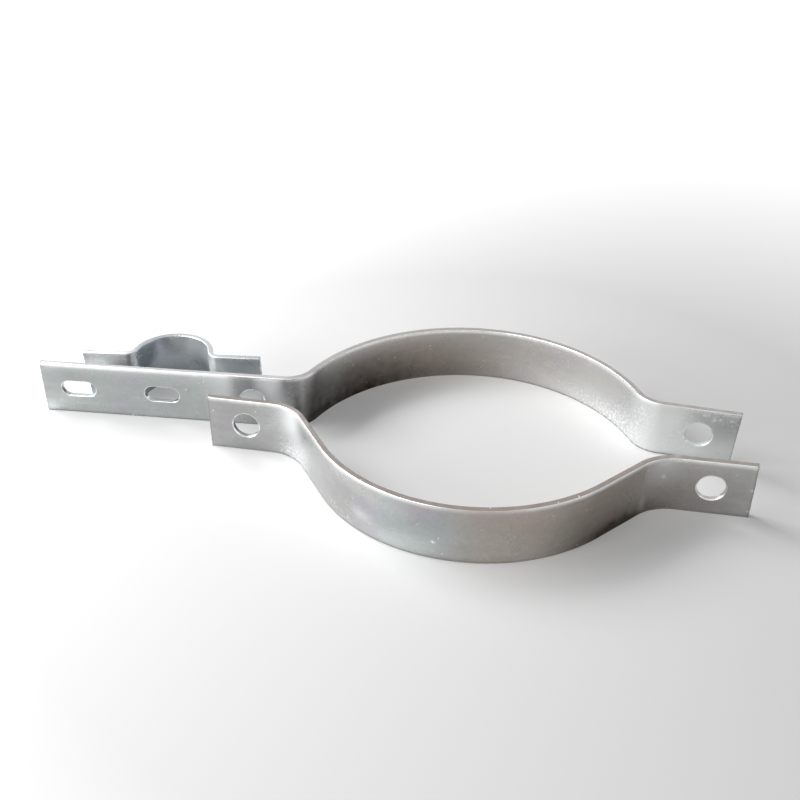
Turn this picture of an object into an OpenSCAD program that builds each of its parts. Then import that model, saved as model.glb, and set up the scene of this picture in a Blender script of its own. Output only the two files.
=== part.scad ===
// Pole cable clamp: two half hoops and a cable saddle, all bent from flat steel strip.
// Millimetres. The origin is on the pole axis of the rear half, on the base plane, with +Z up
// along the pole and +Y from the pole to the rear half's crown.

/* [Strip] */
// Width of the strip, which is the height of each piece as it stands on its edge
strip_w = 40; // [32:1:60]
// Thickness of the strip
strip_t = 4; // [3:0.5:5]
// Rolled rounding along the strip's long edges
strip_edge_r = 0.8; // [0.4:0.1:1.2]

/* [Rear half] */
// Diameter of the pole that the rear half seats on
pole_d = 242; // [200:1:300]
// Half of the angle that the rear seat wraps
rear_half_angle = 66.5; // [62:0.5:72]
// Straight run between the rear seat and each outward bend
rear_flank = 3; // [1:0.5:8]
// Inside radius of the rear half's outward bends
rear_bend_r = 18; // [12:0.5:24]
// Angle by which the rear half's plain ear is set towards the front half
rear_ear_angle = 8; // [0:0.5:12]

/* [Front half] */
// How much smaller than the pole's the front seat's radius is, so that it springs on
front_tuck = 10.5; // [4:0.5:16]
// Half of the angle that the front seat wraps
front_half_angle = 51.75; // [46:0.25:58]
// Straight run between the front seat and each outward bend
front_flank = 36; // [28:0.5:44]
// Inside radius of the front half's outward bends
front_bend_r = 30.5; // [22:0.5:38]
// Angle by which the front half's left ear is set towards the rear half
front_left_ear_angle = -2.5; // [-6:0.5:6]
// Angle by which the front half's right ear is set towards the rear half
front_right_ear_angle = 3; // [-6:0.5:6]

/* [Clamp bolts] */
// Diameter of the clamp bolt holes
bolt_hole_d = 18; // [14:0.5:24]
// From the bend that ends furthest out to the clamp bolt holes
bolt_setback = 17.25; // [14:0.25:26]
// From each clamp bolt hole to the end of its ear
ear_end = 26; // [18:0.5:34]

/* [Arm] */
// From the clamp bolt hole to the middle of the nearer slot
arm_run = 66.5; // [50:0.5:90]
// Length of each slot, end to end
slot_len = 25.5; // [20:0.5:32]
// Width of each slot
slot_w = 12; // [10:0.5:18]
// From the middle of the outer slot to the end of the arm
arm_end = 26.5; // [20:0.5:34]

/* [Cable saddle] */
// Diameter of the cable that the saddle holds
cable_d = 51; // [38:1:64]
// Half of the angle that the saddle's seat wraps
saddle_half_angle = 73.5; // [66:0.5:84]
// Straight run between the saddle's seat and each foot bend
saddle_flank = 5.5; // [2:0.5:10]
// Inside radius of the saddle's foot bends
saddle_bend_r = 4.5; // [3:0.5:8]
// Diameter of the saddle's bolts
saddle_bolt_d = 8; // [6:0.5:9]
// How much larger than its bolt a saddle hole is
saddle_bolt_clear = 1; // [0.5:0.1:2]
// From each foot bend to the saddle hole
saddle_setback = 5.5; // [5.5:0.5:10]
// From each saddle hole to the end of its foot
saddle_foot_end = 25.5; // [12:0.5:30]
// Play between a saddle bolt and the outer end of its slot
slot_play = 0.1; // [0:0.1:1]

/* [Layout] */
// Distance between the ear lines of the two halves as they stand apart
front_stand_off = 48; // [44:0.5:80]
// Sideways shift of the front half
front_shift = 5.5; // [-10:0.5:10]
// Turn of the front half about its own seat axis
front_turn_angle = -6.3; // [-7:0.1:7]
// Distance between the arm and the saddle's feet as they stand apart
saddle_stand_off = 22; // [18:0.5:40]
// Sideways shift of the saddle from the nearer slot
saddle_shift = 1.5; // [-10:0.5:10]
// Turn of the saddle about its own seat axis
saddle_turn_angle = 3; // [-5:0.5:5]

/* [Hidden] */
$fn = 96;

// A bend is [seat radius, half angle, flank, bend radius]: inside radii, degrees and millimetres
rear = [pole_d / 2, rear_half_angle, rear_flank, rear_bend_r];
front = [pole_d / 2 - front_tuck, front_half_angle, front_flank, front_bend_r];
saddle = [cable_d / 2, saddle_half_angle, saddle_flank, saddle_bend_r];

// Where a limb's ear starts on the strip's middle line, from the seat axis, for an ear set in by an angle
function ear_x(b, ear_angle) = (b[0] + strip_t / 2) * sin(b[1]) + b[2] * cos(b[1])
    + (b[3] + strip_t / 2) * (sin(b[1]) - sin(ear_angle));
function ear_y(b, ear_angle) = (b[0] + strip_t / 2) * cos(b[1]) - b[2] * sin(b[1])
    + (b[3] + strip_t / 2) * (cos(b[1]) - cos(ear_angle));
// Length along an ear to a hole at distance x from the seat axis
function ear_run(b, ear_angle, x) = (x - ear_x(b, ear_angle)) / cos(ear_angle);

// Both halves take the same bolts, so their holes share one distance from the seat axis
bolt_x = max(ear_x(rear, 0), ear_x(rear, rear_ear_angle),
    ear_x(front, front_left_ear_angle), ear_x(front, front_right_ear_angle)) + bolt_setback;
saddle_x = ear_x(saddle, 0) + saddle_setback;
// The saddle's bolts pass through the outer ends of the two slots
slot_spacing = 2 * saddle_x + saddle_bolt_d + 2 * slot_play - slot_len;
slot_x = bolt_x + arm_run;
arm_line_y = ear_y(rear, 0);
front_y = arm_line_y - front_stand_off + ear_y(front, 0);
saddle_y = arm_line_y + saddle_stand_off - ear_y(saddle, 0);
// Angle by which the two parts of one bend, which turn about one axis, run into each other
lap_angle = 2;
// How much the strip draws in on every side where an ear is bent out
bend_draw = 0.01;

// The strip's rounded cross-section, drawn in on every side by an amount
module section(draw = 0) {
    c = strip_edge_r;
    t = strip_t - 2 * draw;
    w = strip_w - 2 * draw;
    translate([c - strip_t / 2, draw]) square([strip_t - 2 * c, w]);
    translate([-t / 2, c]) square([t, strip_w - 2 * c]);
    for (x = [-1, 1], z = [c, strip_w - c])
        translate([x * (strip_t / 2 - c), z]) circle(r = c - draw);
}

// Straight strip along +X
module run(len) {
    rotate([90, 0, 90]) linear_extrude(len) section();
}

// Strip bent about the Z axis, through an angle from a first one
module bend(r, first, through, draw = 0) {
    rotate_extrude(angle = through, start = first) translate([r, 0]) section(draw);
}

// One side of a bent strap about its seat axis, with its crown at +Y: half the seat, the flank,
// the outward bend and a straight ear along +X, which the children are cut from
module limb(b, ear_angle, ear_len) {
    seat_r = b[0] + strip_t / 2;
    bend_r = b[3] + strip_t / 2;
    out = b[1] - ear_angle;
    rotate([0, 0, -b[1]]) translate([0, seat_r, 0]) {
        translate([0, -seat_r, 0]) bend(seat_r, 90, b[1] + lap_angle);
        run(b[2]);
        translate([b[2], bend_r, 0]) {
            bend(bend_r, -90, out / 2 + lap_angle);
            rotate([0, 0, out]) {
                bend(bend_r, -90 - out / 2 - lap_angle, out / 2 + lap_angle, bend_draw);
                translate([0, -bend_r, 0]) difference() {
                    run(ear_len);
                    children();
                }
            }
        }
    }
}

// A round hole through the strip at x
module hole(x, d) {
    translate([x, 0, strip_w / 2]) rotate([90, 0, 0])
        cylinder(d = d, h = 2 * strip_t, center = true);
}

// A slot through the strip with its middle at x
module slot(x) {
    for (s = [-1, 1]) hole(x + s * (slot_len - slot_w) / 2, slot_w);
    translate([x, 0, strip_w / 2])
        cube([slot_len - slot_w, 2 * strip_t, slot_w], center = true);
}

module rear_strap() {
    plain = ear_run(rear, rear_ear_angle, bolt_x);
    arm = ear_run(rear, 0, bolt_x);
    color([0.66, 0.69, 0.69]) {
        limb(rear, rear_ear_angle, plain + ear_end) hole(plain, bolt_hole_d);
        mirror([1, 0, 0]) limb(rear, 0, arm + arm_run + slot_spacing + arm_end) {
            hole(arm, bolt_hole_d);
            slot(arm + arm_run);
            slot(arm + arm_run + slot_spacing);
        }
    }
}

module front_strap() {
    left = ear_run(front, front_left_ear_angle, bolt_x);
    right = ear_run(front, front_right_ear_angle, bolt_x);
    color([0.62, 0.63, 0.63]) translate([front_shift, front_y, 0])
        rotate([0, 0, 180 + front_turn_angle]) {
            limb(front, front_left_ear_angle, left + ear_end) hole(left, bolt_hole_d);
            mirror([1, 0, 0]) limb(front, front_right_ear_angle, right + ear_end)
                hole(right, bolt_hole_d);
        }
}

module cable_saddle() {
    color([0.53, 0.56, 0.59]) translate([saddle_shift - slot_x, saddle_y, 0])
        rotate([0, 0, saddle_turn_angle]) for (m = [0, 1]) mirror([m, 0, 0])
            limb(saddle, 0, saddle_setback + saddle_foot_end)
                hole(saddle_setback, saddle_bolt_d + saddle_bolt_clear);
}

rear_strap();
front_strap();
cable_saddle();
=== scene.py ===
"""Looks of the pole cable clamp: three pieces of galvanised flat strip on a pale studio floor.

Each strip is modelled as it is made: a flat blank with rolled edges and punched holes, which is then
bent along the same middle line as its solid in the frame. The strips are worked out in millimetres,
and the studio is in metres.
"""
import math

import bmesh
import bpy
import numpy as np
from mathutils import Matrix, Vector, noise


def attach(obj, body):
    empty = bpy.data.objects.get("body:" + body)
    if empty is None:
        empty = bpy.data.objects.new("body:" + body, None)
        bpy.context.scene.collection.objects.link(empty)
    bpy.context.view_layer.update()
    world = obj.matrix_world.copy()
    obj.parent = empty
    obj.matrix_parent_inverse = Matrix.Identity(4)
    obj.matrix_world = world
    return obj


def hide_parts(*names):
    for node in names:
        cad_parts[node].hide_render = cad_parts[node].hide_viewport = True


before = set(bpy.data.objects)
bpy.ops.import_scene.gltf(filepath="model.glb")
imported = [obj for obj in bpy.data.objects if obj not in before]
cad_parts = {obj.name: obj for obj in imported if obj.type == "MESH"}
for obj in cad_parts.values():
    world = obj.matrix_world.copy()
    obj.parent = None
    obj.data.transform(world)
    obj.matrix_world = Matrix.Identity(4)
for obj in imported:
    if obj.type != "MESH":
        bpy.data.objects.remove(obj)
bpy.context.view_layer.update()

MM = 0.001
STRIP_W, STRIP_T = 40.0, 4.0
# Rounding of the long edges, through the strip and across it, of a sheared end, and of the rims
EDGE_DEEP, EDGE_HIGH, END_R, HOLE_RIM, SLOT_RIM = 0.4, 1.3, 0.3, 0.8, 0.4
# Flat margin beside each rounding, which keeps the faces' shading flat
KEEP = 0.2
# Size of the mesh's cells along a strip, and the cells across it, round a rounding and through a wall
CELL, ROWS, ROUND_STEPS, WALL_STEPS = 1.0, 36, 5, 4
# Where the rings of cells round a hole lie, as shares of the way from the grid to the hole's rim
FACE_RINGS = (0.35, 0.7, 1.0)
# Stretch beside an end over which the cells take up its skew
SKEW_REACH = 12.0
# Below this a direction counts as lying along the strip
NEARLY_ZERO = 1e-9

# The coat's broad and fine unevenness: height and width. Its lumps at the ends: height, width, reach.
BROAD, FINE, LUMPS = (0.035, 14.0), (0.018, 5.0), (0.3, 2.6, 1.2)
# How much further apart the two faces lie in the coat's noise than in the strip
FACES_APART = 3
# How far the noise of one seed lies from the next one's
SEED_SHIFT = (17.3, 5.1, 9.7)
# How far apart the straps lie in the noise textures
STRAP_SHIFT = 1000.0
# The painted reflection grey of the narrow faces ends this far in from the edge, over this width
NARROW_END, NARROW_BLUR = 0.25, 0.2
# Painted highlight beside a top edge: how far down the face it fades out, and how fast
HIGHLIGHT_FADE, HIGHLIGHT_FALL = 2.2, 1.5
# Painted highlight on the rims of holes, on average, and the width of its patches
RIM_HIGHLIGHT, RIM_HIGHLIGHT_PATCH = 0.75, 5.0
# Frost and its painted highlights start this far above the foot of a strip, over this height
FROST_AND_HIGHLIGHT_START, FROST_AND_HIGHLIGHT_BLUR = 0.5, 1.3
# Painted shade along the foot of a strip, where the floor's contact shadow is reflected, and its height
FOOT_SHADE, FOOT_SHADE_HIGH = 0.35, 3.0


# The middle line of a bent strip

def ear_start(seat_r, half, flank, bend_r, ear):
    """Where an ear starts on the middle line, from the seat axis, for an ear set in by an angle."""
    h, e = math.radians(half), math.radians(ear)
    r, b = seat_r + STRIP_T / 2, bend_r + STRIP_T / 2
    return (r * math.sin(h) + flank * math.cos(h) + b * (math.sin(h) - math.sin(e)),
            r * math.cos(h) - flank * math.sin(h) + b * (math.cos(h) - math.cos(e)))


class MiddleLine:
    """Lines and arcs from a strap's left end to its right end, with the crown at +Y."""

    def __init__(self, seat_r, half, flank, bend_r, left, right, place=(0.0, 0.0, 0.0)):
        """left and right are (angle by which the ear is set in, length of the ear)."""
        self.place = place
        h = math.radians(half)
        r, b = seat_r + STRIP_T / 2, bend_r + STRIP_T / 2
        el, er = math.radians(left[0]), math.radians(right[0])
        x, y = ear_start(seat_r, half, flank, bend_r, left[0])
        self.segments = []
        self.length = 0.0
        at = (-x - left[1] * math.cos(el), y - left[1] * math.sin(el), el)
        for length, curve in ((left[1], 0.0), (b * (h - el), 1 / b), (flank, 0.0), (2 * r * h, -1 / r),
                              (flank, 0.0), (b * (h - er), 1 / b), (right[1], 0.0)):
            self.segments.append((self.length, length, curve, at))
            at = self.step(at, curve, length)
            self.length += length

    @staticmethod
    def step(at, curve, run):
        """Place and heading after a run along a line, where curve is 0, or an arc."""
        x, y, head = at
        if curve == 0.0:
            return x + run * np.cos(head), y + run * np.sin(head), head + 0.0 * run
        turned = head + curve * run
        across = (np.sin(turned) - np.sin(head)) / curve
        away = (np.cos(head) - np.cos(turned)) / curve
        return x + across, y + away, turned

    def bend(self, s, z, n):
        """Points of the flat blank, along, across and through it, where the bent strap has them."""
        x, y, head = np.zeros_like(s), np.zeros_like(s), np.zeros_like(s)
        for i, (start, length, curve, at) in enumerate(self.segments):
            first, last = i == 0, i == len(self.segments) - 1
            on = ((s >= start) | first) & ((s < start + length) | last)
            x[on], y[on], head[on] = self.step(at, curve, s[on] - start)
        x, y = x - n * np.sin(head), y + n * np.cos(head)
        px, py, turn = self.place[0], self.place[1], math.radians(self.place[2])
        c, k = math.cos(turn), math.sin(turn)
        return np.column_stack([px + c * x - k * y, py + k * x + c * y, z])


# The flat blank

def opening_point(angle, half_len, r):
    """Point and outward normal of a slot's outline, or a circle's, in a direction from its middle."""
    a = half_len - r
    c, k = math.cos(angle), math.sin(angle)
    if a > 0 and abs(k) > NEARLY_ZERO and abs(r * c / k) <= a:
        side = math.copysign(1.0, k)
        return (side * r * c / k, side * r), (0.0, side)
    m = math.copysign(a, c) if a > 0 else 0.0
    t = m * c + math.sqrt(max(0.0, (m * c) ** 2 - m * m + r * r))
    return (t * c, t * k), ((t * c - m) / r, t * k / r)


class Blank:
    """A flat strip in a grid of cells, with holes: (middle, length, width, rim rounding, half rows)."""

    def __init__(self, length, holes):
        self.s, self.z, self.n, self.faces = [], [], [], []
        self.rim = []
        self.length = length
        pitch = (STRIP_W - 2 * (EDGE_HIGH + KEEP)) / ROWS
        rows = [EDGE_HIGH + KEEP + pitch * j for j in range(ROWS + 1)]
        marks = [END_R + KEEP]
        for mid, long_, wide, _, half_rows in holes:
            margin = half_rows * pitch - wide / 2
            marks += [mid - long_ / 2 - margin, mid + long_ / 2 + margin]
        marks.append(length - END_R - KEEP)
        columns, spans = [marks[0]], []
        for a, b in zip(marks, marks[1:]):
            count = max(1, round((b - a) / CELL))
            # Over a hole the count is even, so that the loop of cells round it is the same on both sides.
            if len(spans) % 2 and count % 2:
                count += 1
            spans.append((len(columns) - 1, len(columns) - 1 + count))
            columns += [a + (b - a) * (k + 1) / count for k in range(count)]
        nc, nr = len(columns), len(rows)
        half = STRIP_T / 2
        cut = [(spans[2 * h + 1], (ROWS // 2 - hole[-1], ROWS // 2 + hole[-1]))
               for h, hole in enumerate(holes)]
        grids = []
        for side in (1, -1):
            grids.append({(i, j): self.add(columns[i], rows[j], side * half)
                          for i in range(nc) for j in range(nr)
                          if not any(a < i < b and c < j < d for (a, b), (c, d) in cut)})
            for i in range(nc - 1):
                for j in range(nr - 1):
                    if not any(a <= i < b and c <= j < d for (a, b), (c, d) in cut):
                        corners = ((i, j), (i + 1, j), (i + 1, j + 1), (i, j + 1))
                        self.faces.append([grids[-1][k] for k in corners])
        self.outer_edge(grids, nc, nr)
        for hole, ((a, b), (c, d)) in zip(holes, cut):
            self.punch(grids, hole, self.loop(a, b, c, d))

    def add(self, s, z, n, rim=0.0):
        """Add a point, along, across and through the strip, and return its number."""
        for values, value in ((self.s, s), (self.z, z), (self.n, n), (self.rim, rim)):
            values.append(value)
        return len(self.s) - 1

    @staticmethod
    def loop(a, b, c, d):
        """Grid points round a rectangle of cells."""
        return ([(i, c) for i in range(a, b)] + [(b, j) for j in range(c, d)]
                + [(i, d) for i in range(b, a, -1)] + [(a, j) for j in range(d, c, -1)])

    def stitch(self, rings):
        """Faces between each closed ring of points and the next."""
        for one, two in zip(rings, rings[1:]):
            for k in range(len(one)):
                m = (k + 1) % len(one)
                self.faces.append([one[k], one[m], two[m], two[k]])

    def outer_edge(self, grids, nc, nr):
        """Rolled long edges and sheared ends, from the upper face round to the lower one."""
        loop = self.loop(0, nc - 1, 0, nr - 1)
        half = STRIP_T / 2
        turns = [math.pi / 2 * k / ROUND_STEPS for k in range(ROUND_STEPS + 1)]
        front = [(math.sin(a), 1, math.cos(a)) for a in turns]
        wall = [(1.0, 1 - 2 * k / WALL_STEPS, 0.0) for k in range(1, WALL_STEPS)]
        back = [(out, -1, down) for out, _, down in reversed(front)]
        rings = [[grids[0][p] for p in loop]]
        for out, side, down in front + wall + back:
            ring = []
            for i, j in loop:
                base = grids[0][(i, j)]
                along = (i == nc - 1) - (i == 0)
                across = (j == nr - 1) - (j == 0)
                drop = (EDGE_DEEP + END_R) / 2 if along and across else EDGE_DEEP if across else END_R
                ring.append(self.add(self.s[base] + along * (KEEP + out * END_R),
                                     self.z[base] + across * (KEEP + out * EDGE_HIGH),
                                     side * (half - drop + drop * down)))
            rings.append(ring)
        rings.append([grids[1][p] for p in loop])
        self.stitch(rings)

    def punch(self, grids, hole, loop):
        """The face round a hole, its rounded rims and its wall."""
        mid, long_, wide, rim_r, _ = hole
        half, r = STRIP_T / 2, wide / 2
        reach = rim_r + KEEP
        sides = []
        for side in (0, 1):
            frame_ring = [grids[side][p] for p in loop]
            rings = [frame_ring]
            spots = []
            for v in frame_ring:
                ds, dz = self.s[v] - mid, self.z[v] - STRIP_W / 2
                spots.append((ds, dz, *opening_point(math.atan2(dz, ds), long_ / 2, r)))
            n = half if side == 0 else -half
            for share in FACE_RINGS:
                ring = []
                for ds, dz, p, out in spots:
                    end = (p[0] + reach * out[0], p[1] + reach * out[1])
                    ring.append(self.add(mid + ds + share * (end[0] - ds),
                                         STRIP_W / 2 + dz + share * (end[1] - dz), n))
                rings.append(ring)
            for k in range(ROUND_STEPS + 1):
                turn = math.pi / 2 * k / ROUND_STEPS
                off, level = rim_r * (1 - math.sin(turn)), half - rim_r * (1 - math.cos(turn))
                rings.append([self.add(mid + p[0] + off * out[0], STRIP_W / 2 + p[1] + off * out[1],
                                       level if side == 0 else -level, 1.0 if k < ROUND_STEPS else 0.0)
                              for _, _, p, out in spots])
            sides.append(rings)
        walls = []
        for k in range(1, WALL_STEPS):
            level = (half - rim_r) * (1 - 2 * k / WALL_STEPS)
            walls.append([self.add(self.s[v], self.z[v], level) for v in sides[0][-1]])
        self.stitch(sides[0] + walls + sides[1][::-1])


def smooth_noise(points, scale, seed):
    """Noise from -1 to 1 at each point, with features of about scale millimetres."""
    shift = Vector([seed * step for step in SEED_SHIFT])
    return np.array([noise.noise(Vector(p) / scale + shift) for p in points])


# Looks that are listed as marks and painted by the zinc material under the same names
PAINTED = ("frost_and_highlight", "fleck", "shade_and_stain", "reflected_tint", "lilac_highlight_tint")


def strength(marks, kind, s, z):
    """How strong one kind of mark is at each point. The marks are soft ovals, listed further down."""
    total = np.zeros_like(s)
    for name, along, height, reach, rise, amount in marks:
        if name == kind:
            total += amount * np.exp(-((s - along) / reach) ** 2 - ((z - height) / rise) ** 2)
    return total


def uneven(s, z, n, length, seed, skew):
    """The blank's points with its coat, and its ends out of square, and how close each is to an end."""
    half = STRIP_T / 2
    flat = np.column_stack([s, z, n * FACES_APART])
    lift = BROAD[0] * smooth_noise(flat, BROAD[1], seed) + FINE[0] * smooth_noise(flat, FINE[1], seed + 1)
    lumps = LUMPS[0] * smooth_noise(flat, LUMPS[1], seed + 2)
    end = np.clip(1 - np.minimum(s, length - s) / LUMPS[2], 0, 1)
    n = n + np.sign(n) * lift * np.clip(np.abs(n) / half, 0, 1)
    s = s + np.where(s < length / 2, -1, 1) * end * lumps
    lean = 2 * (1 - z / STRIP_W)
    s = (s + skew[0] * lean * np.clip(1 - s / SKEW_REACH, 0, 1)
         - skew[1] * lean * np.clip(1 - (length - s) / SKEW_REACH, 0, 1))
    return s, n, end


def coat_values(s, z, end, rim, marks):
    """How strong each look of the zinc is at each point."""
    from_edge = STRIP_W / 2 - np.abs(z - STRIP_W / 2)
    # Painted reflection grey on the narrow faces and the sheared ends
    edge = np.clip((NARROW_END - from_edge) / NARROW_BLUR, 0, 1)
    # Painted highlight on the rounding of top edges, fading down the face, and on hole rims
    edge_highlight = np.clip((EDGE_HIGH + HIGHLIGHT_FADE - from_edge) / HIGHLIGHT_FADE, 0, 1) ** HIGHLIGHT_FALL
    edge_highlight *= (1 - edge) * (z > STRIP_W / 2)
    edge_highlight *= np.clip(1 - strength(marks, "less_highlight", s, z), 0, 1)
    reflection_cleared = np.clip(1 - strength(marks, "reflection_cleared", s, z), 0, 1)
    values = {"edge": np.maximum(edge, end) * reflection_cleared, "edge_highlight": np.maximum(edge_highlight, rim)}
    for kind in PAINTED:
        values[kind] = strength(marks, kind, s, z)
    # Frost with painted highlights, kept off the very foot of a strip
    values["frost_and_highlight"] *= np.clip((z - FROST_AND_HIGHLIGHT_START) / FROST_AND_HIGHLIGHT_BLUR, 0, 1)
    # Painted shade along the foot of each strip
    values["shade_and_stain"] = np.maximum(values["shade_and_stain"], FOOT_SHADE * np.clip(1 - z / FOOT_SHADE_HIGH, 0, 1))
    return values


def closed_mesh(name, points, faces):
    """A smooth-shaded mesh whose faces all look outwards."""
    mesh = bpy.data.meshes.new(name)
    mesh.from_pydata(points.tolist(), [], faces)
    bm = bmesh.new()
    bm.from_mesh(mesh)
    bmesh.ops.recalc_face_normals(bm, faces=bm.faces)
    bm.to_mesh(mesh)
    bm.free()
    mesh.shade_smooth()
    return mesh


def strap(name, line, holes, seed, material, marks, skew=(0.0, 0.0)):
    """A bent strip with its zinc coat, in place of the frame's node of the same name.

    Its ends are sheared a little out of square: each is short by its skew at mid height.
    """
    blank = Blank(line.length, holes)
    s, z, n = (np.array(v, float) for v in (blank.s, blank.z, blank.n))
    # Painted highlight on hole rims, in patches
    patches = smooth_noise(np.column_stack([s, z, n]), RIM_HIGHLIGHT_PATCH, seed + 3)
    rim = np.array(blank.rim) * np.clip(RIM_HIGHLIGHT + patches, 0, 1)
    s, n, end = uneven(s, z, n, line.length, seed, skew)
    mesh = closed_mesh(name + "_coat", line.bend(s, z, n) * MM, blank.faces)
    mesh.materials.append(material)
    # Each strap takes its own part of the noise textures.
    apart = np.column_stack([s + STRAP_SHIFT * seed, z, n]) * MM
    where = mesh.attributes.new("strip", "FLOAT_VECTOR", "POINT")
    where.data.foreach_set("vector", apart.astype(np.float32).ravel())
    for label, value in coat_values(s, z, end, rim, marks).items():
        mesh.attributes.new(label, "FLOAT", "POINT").data.foreach_set("value", value.astype(np.float32))
    piece = bpy.data.objects.new(name + "_coat", mesh)
    bpy.context.scene.collection.objects.link(piece)
    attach(piece, "root")
    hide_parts(name)


# Materials

class Graph:
    """The nodes of a material or a world. An input is a number, a colour or another node's output."""

    def __init__(self, owner):
        owner.use_nodes = True
        self.tree = owner.node_tree
        self.tree.nodes.clear()

    def node(self, kind, inputs=None, **settings):
        """A node with its settings, and its inputs by name or number."""
        made = self.tree.nodes.new(kind)
        for key, value in settings.items():
            setattr(made, key, value)
        for key, value in (inputs or {}).items():
            socket = made.inputs[key]
            if isinstance(value, bpy.types.NodeSocket):
                self.tree.links.new(value, socket)
            else:
                socket.default_value = (*value, 1.0) if socket.type == "RGBA" else value
        return made

    def maths(self, operation, a, b, clamp=False):
        return self.node("ShaderNodeMath", {0: a, 1: b}, operation=operation, use_clamp=clamp).outputs[0]

    def mix(self, kind, share, a, b):
        """Two colours mixed by a share. The mix node has its colours at 6 and 7, and the result at 2."""
        return self.node("ShaderNodeMix", {0: share, 6: a, 7: b},
                         data_type="RGBA", blend_type=kind).outputs[2]

    def fit(self, value, a, b, low, high, smooth=False):
        """A value from a to b taken to low to high, and held there outside."""
        return self.node("ShaderNodeMapRange", {0: value, 1: a, 2: b, 3: low, 4: high},
                         interpolation_type="SMOOTHSTEP" if smooth else "LINEAR").outputs[0]

    def spread(self, value, low, high):
        """A noise's usual range taken to low to high."""
        return self.fit(value, *NOISE_RANGE, low, high)

    def grain(self, vector, scale, detail, stretch=None):
        """Noise with a number of features to the metre, drawn out where stretch is below 1."""
        if stretch:
            vector = self.node("ShaderNodeMapping", {"Vector": vector, "Scale": stretch}).outputs[0]
        return self.node("ShaderNodeTexNoise",
                         {"Vector": vector, "Scale": scale, "Detail": detail}).outputs["Fac"]


NOISE_RANGE = (0.3, 0.7)
# Tints that the zinc's grey is multiplied by
PINK_SHEEN, GREEN_SHEEN = (1.01, 0.97, 1.03), (0.96, 1.02, 0.99)
# Painted reflection tints, warm and cool, and a painted lilac tint of highlights
WARM_REFLECTION, COOL_REFLECTION, LILAC_HIGHLIGHT_TINT = (1.08, 0.957, 0.865), (0.91, 1.01, 0.993), (1.0, 0.945, 1.05)
# Painted shade: darkens the zinc where shade falls, and at a few small real stains
SHADE_AND_STAIN = (0.10, 0.085, 0.075)
# Colours that are laid over it: frost with painted highlights, the painted highlight of top edges and rims,
# and specks
FROST_AND_HIGHLIGHT, HIGHLIGHT_WHITE, SPECK = (0.837, 0.855, 0.86), (0.95, 0.955, 0.955), (0.95, 0.96, 0.96)
# How much of the frost marks shows, with their painted highlights, and how much of such a patch is matt
FROST_AND_HIGHLIGHT_SHARE, FROST_AND_HIGHLIGHT_MATT = 0.78, 0.5
# Strength of the bump, and its height in metres
BUMP, BUMP_HIGH = 0.3, 0.00016


def plain_zinc(g, strip, clouds, mottle, tone):
    """Cloudy grey with faint streaks and crystals, and a slight sheen of pink and green."""
    streaks = g.grain(strip, scale=260.0, detail=3.0, stretch=(0.08, 1.0, 1.0))
    crystals = g.node("ShaderNodeTexVoronoi", {"Vector": strip, "Scale": 420.0}).outputs["Color"]
    spangle = g.node("ShaderNodeSeparateColor", {0: crystals}).outputs[0]
    shade = g.maths("ADD", g.spread(mottle, -0.035, 0.035), g.spread(streaks, -0.03, 0.03))
    shade = g.maths("ADD", shade, g.spread(clouds, -0.06, 0.06))
    shade = g.maths("ADD", shade, g.fit(spangle, 0.0, 1.0, 0.97, 1.03))
    grey = g.node("ShaderNodeVectorMath", {0: tone, "Scale": shade}, operation="SCALE").outputs[0]
    sheen = g.grain(strip, scale=38.0, detail=2.0)
    grey = g.mix("MULTIPLY", g.fit(sheen, 0.52, 0.72, 0.0, 1.0), grey, PINK_SHEEN)
    return g.mix("MULTIPLY", g.fit(sheen, 0.48, 0.28, 0.0, 1.0), grey, GREEN_SHEEN)


def marked_zinc(g, colour, strip, mottle, bloom_and_highlight, look, narrow_face_reflection):
    """The zinc's colour with its painted reflection tints, painted shade and stains, frost and painted
    highlights, painted reflection on the narrow faces, and specks.
    """
    # Painted warm and cool reflection tints
    colour = g.mix("MULTIPLY", g.maths("MULTIPLY", look["reflected_tint"], 1.0, clamp=True), colour, WARM_REFLECTION)
    colour = g.mix("MULTIPLY", g.maths("MULTIPLY", look["reflected_tint"], -1.0, clamp=True), colour, COOL_REFLECTION)
    # Painted lilac tint of highlights
    colour = g.mix("MULTIPLY", look["lilac_highlight_tint"], colour, LILAC_HIGHLIGHT_TINT)
    # Painted shade, with a few small real stains, unevenly darkening the zinc
    uneven_shade_and_stain = g.maths("MULTIPLY", look["shade_and_stain"], g.spread(mottle, -0.15, 0.15))
    colour = g.mix("MULTIPLY", g.maths("ADD", look["shade_and_stain"], uneven_shade_and_stain, clamp=True), colour, SHADE_AND_STAIN)
    # Frost, and painted highlights where light falls
    colour = g.mix("MIX", bloom_and_highlight, colour, FROST_AND_HIGHLIGHT)
    # Painted highlight on top edges and hole rims
    colour = g.mix("MIX", g.maths("MULTIPLY", look["edge_highlight"], g.spread(mottle, 0.75, 1.0)), colour, HIGHLIGHT_WHITE)
    # Painted reflection grey on the narrow faces and ends
    colour = g.mix("MIX", g.maths("MULTIPLY", look["edge"], g.spread(mottle, 0.65, 1.0)), colour, narrow_face_reflection)
    specks = g.fit(g.grain(strip, scale=520.0, detail=1.0), 0.76, 0.775, 0.0, 0.9, smooth=True)
    return g.mix("MIX", specks, colour, SPECK)


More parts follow.
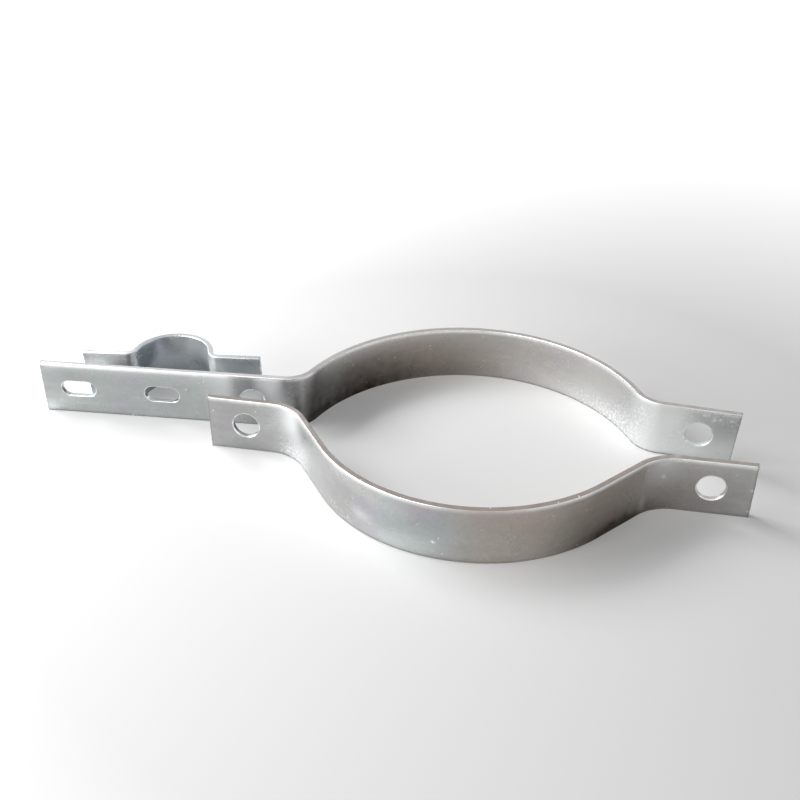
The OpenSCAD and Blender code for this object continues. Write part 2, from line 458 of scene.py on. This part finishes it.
def zinc(name, tone, narrow_face_reflection):
    """Hot-dip zinc, from the look of each point and from noise along the strip."""
    mat = bpy.data.materials.new(name)
    g = Graph(mat)
    strip = g.node("ShaderNodeAttribute", attribute_name="strip").outputs["Vector"]
    look = {kind: g.node("ShaderNodeAttribute", attribute_name=kind).outputs["Fac"]
            for kind in ("edge", "edge_highlight", *PAINTED)}
    clouds = g.grain(strip, scale=22.0, detail=3.0)
    mottle = g.grain(strip, scale=130.0, detail=4.0)
    flecks = g.fit(g.grain(strip, scale=520.0, detail=4.0), 0.44, 0.72, 0.0, 1.0, smooth=True)
    flecks = g.maths("MULTIPLY", flecks, look["fleck"])
    bloom_and_highlight = g.maths("ADD", g.maths("MULTIPLY", look["frost_and_highlight"], FROST_AND_HIGHLIGHT_SHARE), flecks, clamp=True)
    colour = plain_zinc(g, strip, clouds, mottle, tone)
    colour = marked_zinc(g, colour, strip, mottle, bloom_and_highlight, look, narrow_face_reflection)

    roughness = g.maths("ADD", g.spread(clouds, 0.24, 0.28), g.spread(mottle, -0.02, 0.02))
    roughness = g.maths("ADD", roughness, g.maths("MULTIPLY", bloom_and_highlight, 0.08))
    roughness = g.maths("SUBTRACT", roughness, g.maths("MULTIPLY", look["edge_highlight"], 0.04))

    fine = g.grain(strip, scale=900.0, detail=3.0)
    height = g.maths("ADD", g.maths("MULTIPLY", clouds, 0.8), g.maths("MULTIPLY", fine, 0.07))
    height = g.maths("ADD", height, g.maths("MULTIPLY", flecks, 0.25))
    bump = g.node("ShaderNodeBump", {"Strength": BUMP, "Distance": BUMP_HIGH, "Height": height}).outputs[0]

    # Frost is zinc oxide, which isn't a metal; the painted highlights in the same marks are half matt as
    # well.
    metallic = g.maths("SUBTRACT", 1.0, g.maths("MULTIPLY", bloom_and_highlight, FROST_AND_HIGHLIGHT_MATT))
    skin = g.node("ShaderNodeBsdfPrincipled",
                  {"Base Color": colour, "Metallic": metallic, "Roughness": roughness, "Normal": bump})
    g.node("ShaderNodeOutputMaterial", {0: skin.outputs[0]})
    return mat


# The three pieces, whose sizes are the solids' own

# Along the strips, and of the holes
BOLT_X, ARM_RUN, SLOT_GAP, EAR_END, ARM_END = 154.826, 66.5, 62.024, 26.0, 26.5
BOLT, SLOT_L, SLOT_W, SADDLE_HOLE = 18.0, 25.5, 12.0, 9.0
FOOT_SETBACK, FOOT_END = 5.5, 25.5
# Each bend's inside seat radius, half angle, flank and bend radius
REAR = (121.0, 66.5, 3.0, 18.0)
FRONT = (110.5, 51.75, 36.0, 30.5)
SADDLE = (25.5, 73.5, 5.5, 4.5)
# Angles by which the left and right ears are set in, and where the loose pieces stand: x, y, turn
REAR_EARS, FRONT_EARS = (0.0, 8.0), (3.0, -2.5)
FRONT_PLACE, SADDLE_PLACE = (5.5, 15.267, 173.7), (-219.826, 58.387, 3.0)
# How far a sheared end is out of square
SHEARED = 1.2
# Each piece's zinc: the tones of its faces, and the painted reflection on its narrow top face and ends
REAR_TONES = (0.431, 0.436, 0.436), (0.385, 0.35, 0.335)
FRONT_TONES = (0.462, 0.466, 0.462), (0.29, 0.249, 0.229)
SADDLE_TONES = (0.414, 0.449, 0.484), (0.50, 0.51, 0.53)


def to_bolt(form, ear):
    """Length along an ear from its bend to the clamp bolt's hole."""
    return (BOLT_X - ear_start(*form, ear)[0]) / math.cos(math.radians(ear))


# Marks on the zinc: (kind, middle along the strip, middle up, reach along, reach up, amount).
# One kind of mark takes the painted reflection grey off the narrow top face, another the painted highlight
# off the rounding beside it.
# The darkening marks are painted shade, with a few small real stains.
REAR_MARKS = (
    ("reflected_tint", 90, 20, 120, 99, -0.5), ("reflected_tint", 290, 14, 85, 26, 1.3), ("reflected_tint", 430, 20, 70, 99, 0.5),
    ("reflected_tint", 525, 20, 30, 99, -0.8), ("lilac_highlight_tint", 170, 27, 9, 9, 1.0), ("lilac_highlight_tint", 526, 31, 9, 9, 1.0),
    ("shade_and_stain", 240, 20, 60, 14, 0.55), ("shade_and_stain", 235, 0, 65, 11, 0.9), ("shade_and_stain", 199, 24, 13, 99, 0.38),
    ("shade_and_stain", 320, 18, 50, 24, 0.3), ("shade_and_stain", 50, 29, 50, 12, 0.19), ("shade_and_stain", 118, 27, 42, 12, 0.1),
    ("shade_and_stain", 22, 32, 16, 12, 0.12), ("shade_and_stain", 185.5, 14, 3.2, 20, 0.66), ("shade_and_stain", 181, 14, 4, 20, 0.15),
    ("shade_and_stain", 552, 18, 9, 9, 0.28),
    ("shade_and_stain", 553, 7, 1.5, 1.0, 0.8), ("shade_and_stain", 1.5, 38, 2.5, 1.5, 0.6),
    ("reflection_cleared", 70, 40, 130, 99, 0.85), ("frost_and_highlight", 3, 4, 6, 6, 0.5),
    ("frost_and_highlight", 80, 40, 130, 4, 0.4), ("frost_and_highlight", 142, 34, 18, 16, 0.5), ("frost_and_highlight", 172, 24, 11, 18, 0.95),
    ("frost_and_highlight", 90, 0, 80, 8, 0.25), ("frost_and_highlight", 190, 24, 2, 30, 0.12), ("frost_and_highlight", 270, 40, 80, 5, 0.35),
    ("frost_and_highlight", 225, 40, 14, 5, 0.25), ("frost_and_highlight", 405, 5, 42, 14, 0.18), ("frost_and_highlight", 395, 40, 22, 5, 0.25),
    ("frost_and_highlight", 462, 0, 58, 16, 0.45), ("frost_and_highlight", 445, 26, 62, 50, 0.3), ("frost_and_highlight", 470, 40, 50, 4, 0.35),
    ("frost_and_highlight", 507, 16, 15, 40, 0.8), ("frost_and_highlight", 522, 34, 13, 14, 0.8), ("frost_and_highlight", 535, 10, 26, 20, 0.6),
    ("frost_and_highlight", 562, 6, 18, 14, 0.7), ("frost_and_highlight", 560, 38, 30, 6, 0.4),
    ("fleck", 455, 4, 34, 7, 0.7), ("fleck", 484, 10, 22, 12, 0.7), ("fleck", 500, 28, 8, 10, 0.5),
    ("fleck", 552, 36, 26, 6, 0.3), ("frost_and_highlight", 534, 4, 12, 8, 0.35), ("fleck", 530, 20, 11, 16, 0.3),
    ("frost_and_highlight", 541, 36, 1.8, 1.0, 0.8), ("frost_and_highlight", 547, 33, 1.2, 1.0, 1.0), ("frost_and_highlight", 551, 34, 1.0, 0.9, 1.0),
    ("frost_and_highlight", 558, 34, 1.0, 0.9, 0.9), ("frost_and_highlight", 565, 30, 0.9, 1.4, 0.9),
    ("fleck", 184, 22, 5, 22, 0.12))
FRONT_MARKS = (
    ("reflected_tint", 130, 20, 90, 99, 1.2), ("reflected_tint", 232, 14, 24, 16, -1.3), ("reflected_tint", 214, 26, 10, 12, -0.8),
    ("lilac_highlight_tint", 258, 22, 12, 6, 1.0), ("lilac_highlight_tint", 232, 34, 16, 5, 0.9), ("lilac_highlight_tint", 262, 5, 14, 5, 0.9),
    ("frost_and_highlight", 268, 14, 8, 4, 0.5),
    ("shade_and_stain", 100, 0, 45, 14, 0.6), ("shade_and_stain", 88, 0, 36, 8, 0.4), ("shade_and_stain", 100, 18, 48, 22, 0.25),
    ("shade_and_stain", 408, 20, 30, 99, 0.18), ("shade_and_stain", 224, 29, 16, 10, 0.12),
    ("shade_and_stain", 185, 30, 36, 16, 0.16), ("shade_and_stain", 318, 4, 20, 12, 0.15), ("shade_and_stain", 272, 12, 12, 3, 0.08),
    ("less_highlight", 190, 40, 34, 99, 0.8), ("less_highlight", 420, 40, 40, 99, 0.4),
    ("frost_and_highlight", 60, 33, 15, 14, 0.65), ("frost_and_highlight", 58, 38, 3, 2.5, 1.8), ("frost_and_highlight", 49, 39, 2, 1.5, 1.6),
    ("frost_and_highlight", 57, 26, 1.2, 1.2, 1.6), ("frost_and_highlight", 72, 9, 3, 6, 0.35), ("frost_and_highlight", 25, 40, 40, 6, 0.3),
    ("frost_and_highlight", 1, 21, 1.2, 0.8, 1.6), ("frost_and_highlight", 1, 5, 1.2, 0.8, 1.6), ("frost_and_highlight", 1, 39, 2.5, 2, 1.0),
    ("frost_and_highlight", 158, 6, 24, 14, 0.2), ("frost_and_highlight", 218, 13, 1.0, 0.8, 1.8),
    ("frost_and_highlight", 244, 4, 22, 6, 0.4), ("frost_and_highlight", 252, 34, 20, 11, 0.28), ("shade_and_stain", 288, 12, 18, 16, 0.09),
    ("frost_and_highlight", 340, 39, 22, 4, 0.8), ("frost_and_highlight", 361, 31, 11, 16, 1.0), ("frost_and_highlight", 340, 22, 13, 15, 0.4),
    ("frost_and_highlight", 352, 8, 13, 16, 0.6), ("frost_and_highlight", 364, 4, 10, 6, 0.4), ("frost_and_highlight", 286, 38, 16, 7, 0.3),
    ("frost_and_highlight", 228, 11, 16, 6, 0.25), ("fleck", 360, 6, 13, 7, 0.8), ("fleck", 346, 12, 10, 8, 0.4),
    ("fleck", 300, 6, 22, 5, 0.3))
SADDLE_MARKS = (
    ("shade_and_stain", 62, 20, 16, 99, 0.3),
    ("less_highlight", 90, 40, 75, 99, 0.85), ("reflection_cleared", 86, 40, 99, 99, 0.35), ("reflection_cleared", 5, 40, 30, 99, 0.5),
    ("frost_and_highlight", 12, 32, 15, 18, 1.0), ("frost_and_highlight", 27, 35, 11, 12, 0.75), ("fleck", 20, 34, 18, 10, 0.9),
    ("shade_and_stain", 14, 33, 2.5, 2, 0.15),
    ("frost_and_highlight", 86, 34, 15, 12, 0.5), ("frost_and_highlight", 106, 32, 18, 16, 0.65), ("frost_and_highlight", 127, 24, 7, 16, 1.3),
    ("frost_and_highlight", 142, 28, 22, 14, 0.6), ("frost_and_highlight", 158, 4, 24, 16, 1.2))

# A hole is (middle along the strip, length, width, rim rounding, half the rows that it takes up)
BOLT_HOLE = (BOLT, BOLT, HOLE_RIM, 12)
SLOT = (SLOT_L, SLOT_W, SLOT_RIM, 9)
FOOT_HOLE = (SADDLE_HOLE, SADDLE_HOLE, SLOT_RIM, 6)

arm, plain = to_bolt(REAR, REAR_EARS[0]), to_bolt(REAR, REAR_EARS[1])
slots_end = ARM_END + SLOT_GAP
rear = MiddleLine(*REAR, (REAR_EARS[0], arm + ARM_RUN + slots_end), (REAR_EARS[1], plain + EAR_END))
rear_holes = [(ARM_END, *SLOT), (slots_end, *SLOT), (slots_end + ARM_RUN, *BOLT_HOLE),
              (rear.length - EAR_END, *BOLT_HOLE)]
strap("rear_strap", rear, rear_holes, 1, zinc("zinc_rear", *REAR_TONES), REAR_MARKS, skew=(0.0, SHEARED))

near, far = to_bolt(FRONT, FRONT_EARS[0]), to_bolt(FRONT, FRONT_EARS[1])
front = MiddleLine(*FRONT, (FRONT_EARS[0], near + EAR_END), (FRONT_EARS[1], far + EAR_END), FRONT_PLACE)
front_holes = [(EAR_END, *BOLT_HOLE), (front.length - EAR_END, *BOLT_HOLE)]
strap("front_strap", front, front_holes, 2, zinc("zinc_front", *FRONT_TONES), FRONT_MARKS)

foot = FOOT_SETBACK + FOOT_END
saddle = MiddleLine(*SADDLE, (0.0, foot), (0.0, foot), SADDLE_PLACE)
saddle_holes = [(FOOT_END, *FOOT_HOLE), (saddle.length - FOOT_END, *FOOT_HOLE)]
strap("cable_saddle", saddle, saddle_holes, 3, zinc("zinc_saddle", *SADDLE_TONES), SADDLE_MARKS,
      skew=(SHEARED, 0.0))


# Camera

# Where it stands in metres, its turn from +Y, its tilt down and its roll in radians
EYE, YAW, PITCH, ROLL = (0.027524, -0.590421, 0.423266), -0.122904, 0.560704, 0.00296
# Sensor and focal length in millimetres, and the nearest and furthest that it sees
SENSOR, FOCAL, CLIP = 36.0, 47.934, (0.01, 20.0)


def photograph_camera():
    camera = bpy.data.objects.new("camera", bpy.data.cameras.new("camera"))
    bpy.context.scene.collection.objects.link(camera)
    ahead = Vector((math.sin(YAW) * math.cos(PITCH), math.cos(YAW) * math.cos(PITCH), -math.sin(PITCH)))
    level = Vector((math.cos(YAW), -math.sin(YAW), 0.0))
    upward = level.cross(ahead)
    right = math.cos(ROLL) * level + math.sin(ROLL) * upward
    up = math.cos(ROLL) * upward - math.sin(ROLL) * level
    camera.matrix_world = Matrix.Translation(EYE) @ Matrix((right, up, -ahead)).transposed().to_4x4()
    camera.data.sensor_width, camera.data.lens = SENSOR, FOCAL
    camera.data.clip_start, camera.data.clip_end = CLIP
    bpy.context.scene.camera = camera


photograph_camera()


# Floor, world and lamps

FLOOR_SIZE, FLOOR_GREY = 12.0, (0.66, 0.66, 0.66)
# The floor's glow near the pole axis, and the distances between which it rises to 1
NEAR_GLOW, GLOW_FROM, GLOW_TO = 0.22, 0.3, 0.9
# The lamps' shared aim, distance from it and size
AIM, DISTANCE, LAMP_SIZE = Vector((-0.06, 0.02, 0.0)), 1.3, 0.6
# Each lamp's azimuth from the camera's side towards +X and height above the floor in degrees, and its watts
LAMPS = {"key": (-90, 38, 10.2), "key_back": (-120, 38, 12.6),
         "low_left": (-60, 15, 9.8), "low_front": (-30, 15, 3.2)}


def paper():
    """White paper that glows, and less so near the clamp, where its grey takes the lamps' light and shadows.

    The camera, the metal and clear things see the same floor.
    """
    mat = bpy.data.materials.new("floor")
    g = Graph(mat)
    path = g.node("ShaderNodeLightPath").outputs
    seen = g.maths("ADD", path["Is Camera Ray"], path["Is Transmission Ray"])
    seen = g.maths("ADD", path["Is Glossy Ray"], seen)
    place = g.node("ShaderNodeTexCoord").outputs["Object"]
    away = g.node("ShaderNodeVectorMath", {0: place}, operation="LENGTH").outputs["Value"]
    strength_there = g.maths("MULTIPLY", seen, g.fit(away, GLOW_FROM, GLOW_TO, NEAR_GLOW, 1.0))
    glow = g.node("ShaderNodeEmission", {"Strength": strength_there}).outputs[0]
    matt = g.node("ShaderNodeBsdfDiffuse", {"Color": FLOOR_GREY}).outputs[0]
    both = g.node("ShaderNodeAddShader", {0: matt, 1: glow}).outputs[0]
    g.node("ShaderNodeOutputMaterial", {0: both})
    return mat


def white_room():
    """A white world that the camera and the metal see. Only the lamps light what is matt."""
    world = bpy.data.worlds.new("studio")
    g = Graph(world)
    white = g.node("ShaderNodeBackground", {"Color": (1.0, 1.0, 1.0)}).outputs[0]
    g.node("ShaderNodeOutputWorld", {0: white})
    world.cycles_visibility.diffuse = False
    return world


def softbox(name, azimuth, height, power):
    lamp = bpy.data.lights.new(name, "AREA")
    lamp.shape, lamp.size, lamp.size_y = "RECTANGLE", LAMP_SIZE, LAMP_SIZE
    lamp.energy = power
    made = bpy.data.objects.new(name, lamp)
    bpy.context.scene.collection.objects.link(made)
    a, h = math.radians(azimuth), math.radians(height)
    made.location = AIM + DISTANCE * Vector(
        (math.sin(a) * math.cos(h), -math.cos(a) * math.cos(h), math.sin(h)))
    made.rotation_euler = (AIM - made.location).to_track_quat("-Z", "Y").to_euler()


bpy.ops.mesh.primitive_plane_add(size=FLOOR_SIZE, location=(0.0, 0.0, 0.0))
floor = bpy.context.object
floor.name = "floor"
floor.data.materials.append(paper())
bpy.context.scene.world = white_room()
for name, (azimuth, height, power) in LAMPS.items():
    softbox(name, azimuth, height, power)

bpy.context.scene.view_settings.view_transform = "Standard"
